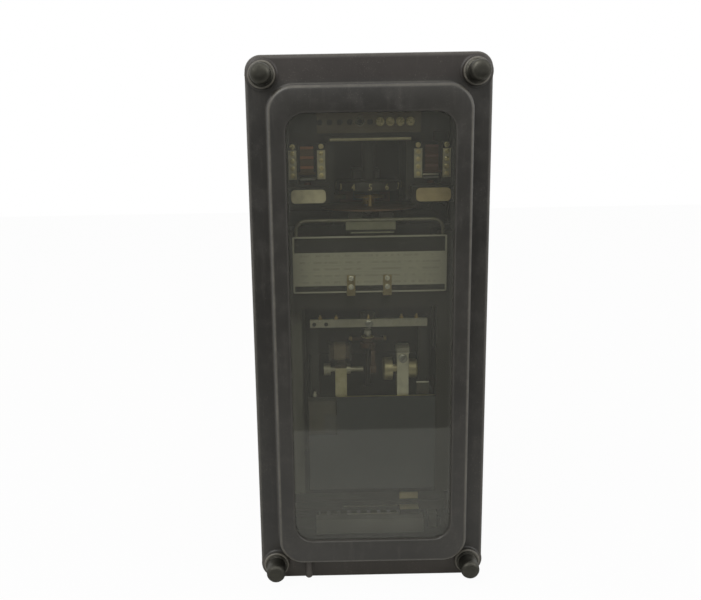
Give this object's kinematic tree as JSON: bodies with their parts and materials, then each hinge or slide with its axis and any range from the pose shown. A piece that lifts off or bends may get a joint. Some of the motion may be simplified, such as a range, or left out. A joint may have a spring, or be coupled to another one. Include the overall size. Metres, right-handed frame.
{
  "type": "protection relay",
  "caption": "Tall flush-mounted drawout protection relay with a moulded window cover, an induction-disk time unit, two target units and a cup unit with adjustable contacts",
  "frame": {"origin": "Centre of the panel face of the case flange", "axes": "Front to -Y, into the panel +Y, up +Z, right (seen from the front) +X"},
  "size_m": [0.1684, 0.2145, 0.385],
  "materials": {
    "cover_moulding": "satin",
    "glass": "clear",
    "case_paint": "satin",
    "black_moulding": "satin",
    "plug_moulding": "satin",
    "unit_frame": "satin",
    "cradle_grey": "satin",
    "blue_grey_paint": "satin",
    "pale_metal": "matt",
    "disk_metal": "satin",
    "nameplate_metal": "matt",
    "steel": "satin",
    "nut_metal": "satin",
    "laminations": "matt",
    "brass": "satin",
    "coil_wrap": "varnished",
    "fibre": "matt",
    "target_orange": "matt",
    "target_dark": "matt",
    "ivory_plate": "satin",
    "rubber": "matt"
  },
  "bodies": {
    "case": {"case_shell": "case_paint", "cover_studs": "steel", "guide_pin": "steel", "outer_blocks": "black_moulding", "terminal_studs": "brass", "terminal_nuts": "brass", "contact_fingers": "brass", "cradle_frame": "cradle_grey", "inner_blocks": "black_moulding", "connecting_plugs": "plug_moulding", "plug_blades": "brass", "cradle_latches": "steel", "disk_unit_frame": "unit_frame", "tap_block": "black_moulding", "tap_screws": "brass", "u_magnet_core": "laminations", "operating_coil": "coil_wrap", "drag_magnet": "pale_metal", "dial_post": "unit_frame", "stationary_contact": "brass", "seal_in_base": "black_moulding", "seal_in_coil": "coil_wrap", "instant_base": "black_moulding", "instant_coil": "coil_wrap", "contact_strips": "pale_metal", "label_plates": "ivory_plate", "nameplate": "nameplate_metal", "nameplate_bail": "steel", "nameplate_clips": "brass", "cup_unit_frame": "unit_frame", "bearing_strap": "pale_metal", "stator_core": "laminations", "stator_coils": "coil_wrap", "inner_core": "laminations", "unit_front_plate": "blue_grey_paint", "backstop_post": "pale_metal", "backstop_screw": "steel", "clamp_post": "pale_metal", "contact_barrel": "brass"},
    "disk": {"induction_disk": "disk_metal", "disk_shaft": "steel", "moving_contact": "brass", "control_spring": "brass"},
    "dial": {"time_dial": "black_moulding"},
    "seal_armature": {"seal_in_armature": "steel"},
    "seal_target": {"seal_in_target": "target_orange"},
    "inst_armature": {"instant_armature": "steel"},
    "inst_target": {"instant_target": "target_dark"},
    "cup": {"cup_rotor": "disk_metal", "cup_shaft": "steel", "contact_arm": "fibre"},
    "cover": {"cover_frame": "cover_moulding", "cover_glass": "glass", "gasket": "rubber", "glass_clips": "steel"},
    "nut_1": {"cover_nut_1": "nut_metal"},
    "nut_2": {"cover_nut_2": "nut_metal"},
    "nut_3": {"cover_nut_3": "nut_metal"},
    "nut_4": {"cover_nut_4": "nut_metal"},
    "reset": {"reset_rod": "black_moulding"}
  },
  "joints": [
    {"name": "cover_lift_off", "type": "slide", "parent": "case", "child": "cover", "axis": [0, -1, 0], "range_m": [0, 0.12]},
    {"name": "nut_1_turn", "type": "hinge", "parent": "cover", "child": "nut_1", "pos_m": [-0.07245, -0.03, 0.1794], "axis": [0, -1, 0], "continuous": true},
    {"name": "nut_2_turn", "type": "hinge", "parent": "cover", "child": "nut_2", "pos_m": [0.07245, -0.03, 0.1794], "axis": [0, -1, 0], "continuous": true},
    {"name": "nut_3_turn", "type": "hinge", "parent": "cover", "child": "nut_3", "pos_m": [-0.07245, -0.03, -0.1794], "axis": [0, -1, 0], "continuous": true},
    {"name": "nut_4_turn", "type": "hinge", "parent": "cover", "child": "nut_4", "pos_m": [0.07245, -0.03, -0.1794], "axis": [0, -1, 0], "continuous": true},
    {"name": "reset_push", "type": "slide", "parent": "cover", "child": "reset", "axis": [0, 0, 1], "range_m": [0, 0.008]},
    {"name": "disk_turn", "type": "hinge", "parent": "case", "child": "disk", "pos_m": [0.0014, 0.016, 0.0866], "axis": [0, 0, 1], "range_deg": [0, 270]},
    {"name": "dial_setting", "type": "hinge", "parent": "case", "child": "dial", "pos_m": [0.0014, 0.016, 0.1025], "axis": [0, 0, 1], "range_deg": [0, 300]},
    {"name": "seal_in_armature_pull", "type": "hinge", "parent": "case", "child": "seal_armature", "pos_m": [-0.0435, 0.02, 0.1077], "axis": [1, 0, 0], "range_deg": [0, 6]},
    {"name": "seal_in_target_swing", "type": "hinge", "parent": "case", "child": "seal_target", "pos_m": [-0.0435, 0.0035, 0.112], "axis": [-1, 0, 0], "range_deg": [0, 50]},
    {"name": "instant_armature_pull", "type": "hinge", "parent": "case", "child": "inst_armature", "pos_m": [0.0463, 0.02, 0.1077], "axis": [1, 0, 0], "range_deg": [0, 6]},
    {"name": "instant_target_swing", "type": "hinge", "parent": "case", "child": "inst_target", "pos_m": [0.0463, 0.0035, 0.112], "axis": [-1, 0, 0], "range_deg": [0, 50]},
    {"name": "cup_turn", "type": "hinge", "parent": "case", "child": "cup", "pos_m": [0, 0.014, -0.03], "axis": [0, 0, 1], "range_deg": [-9, 9]}
  ]
}
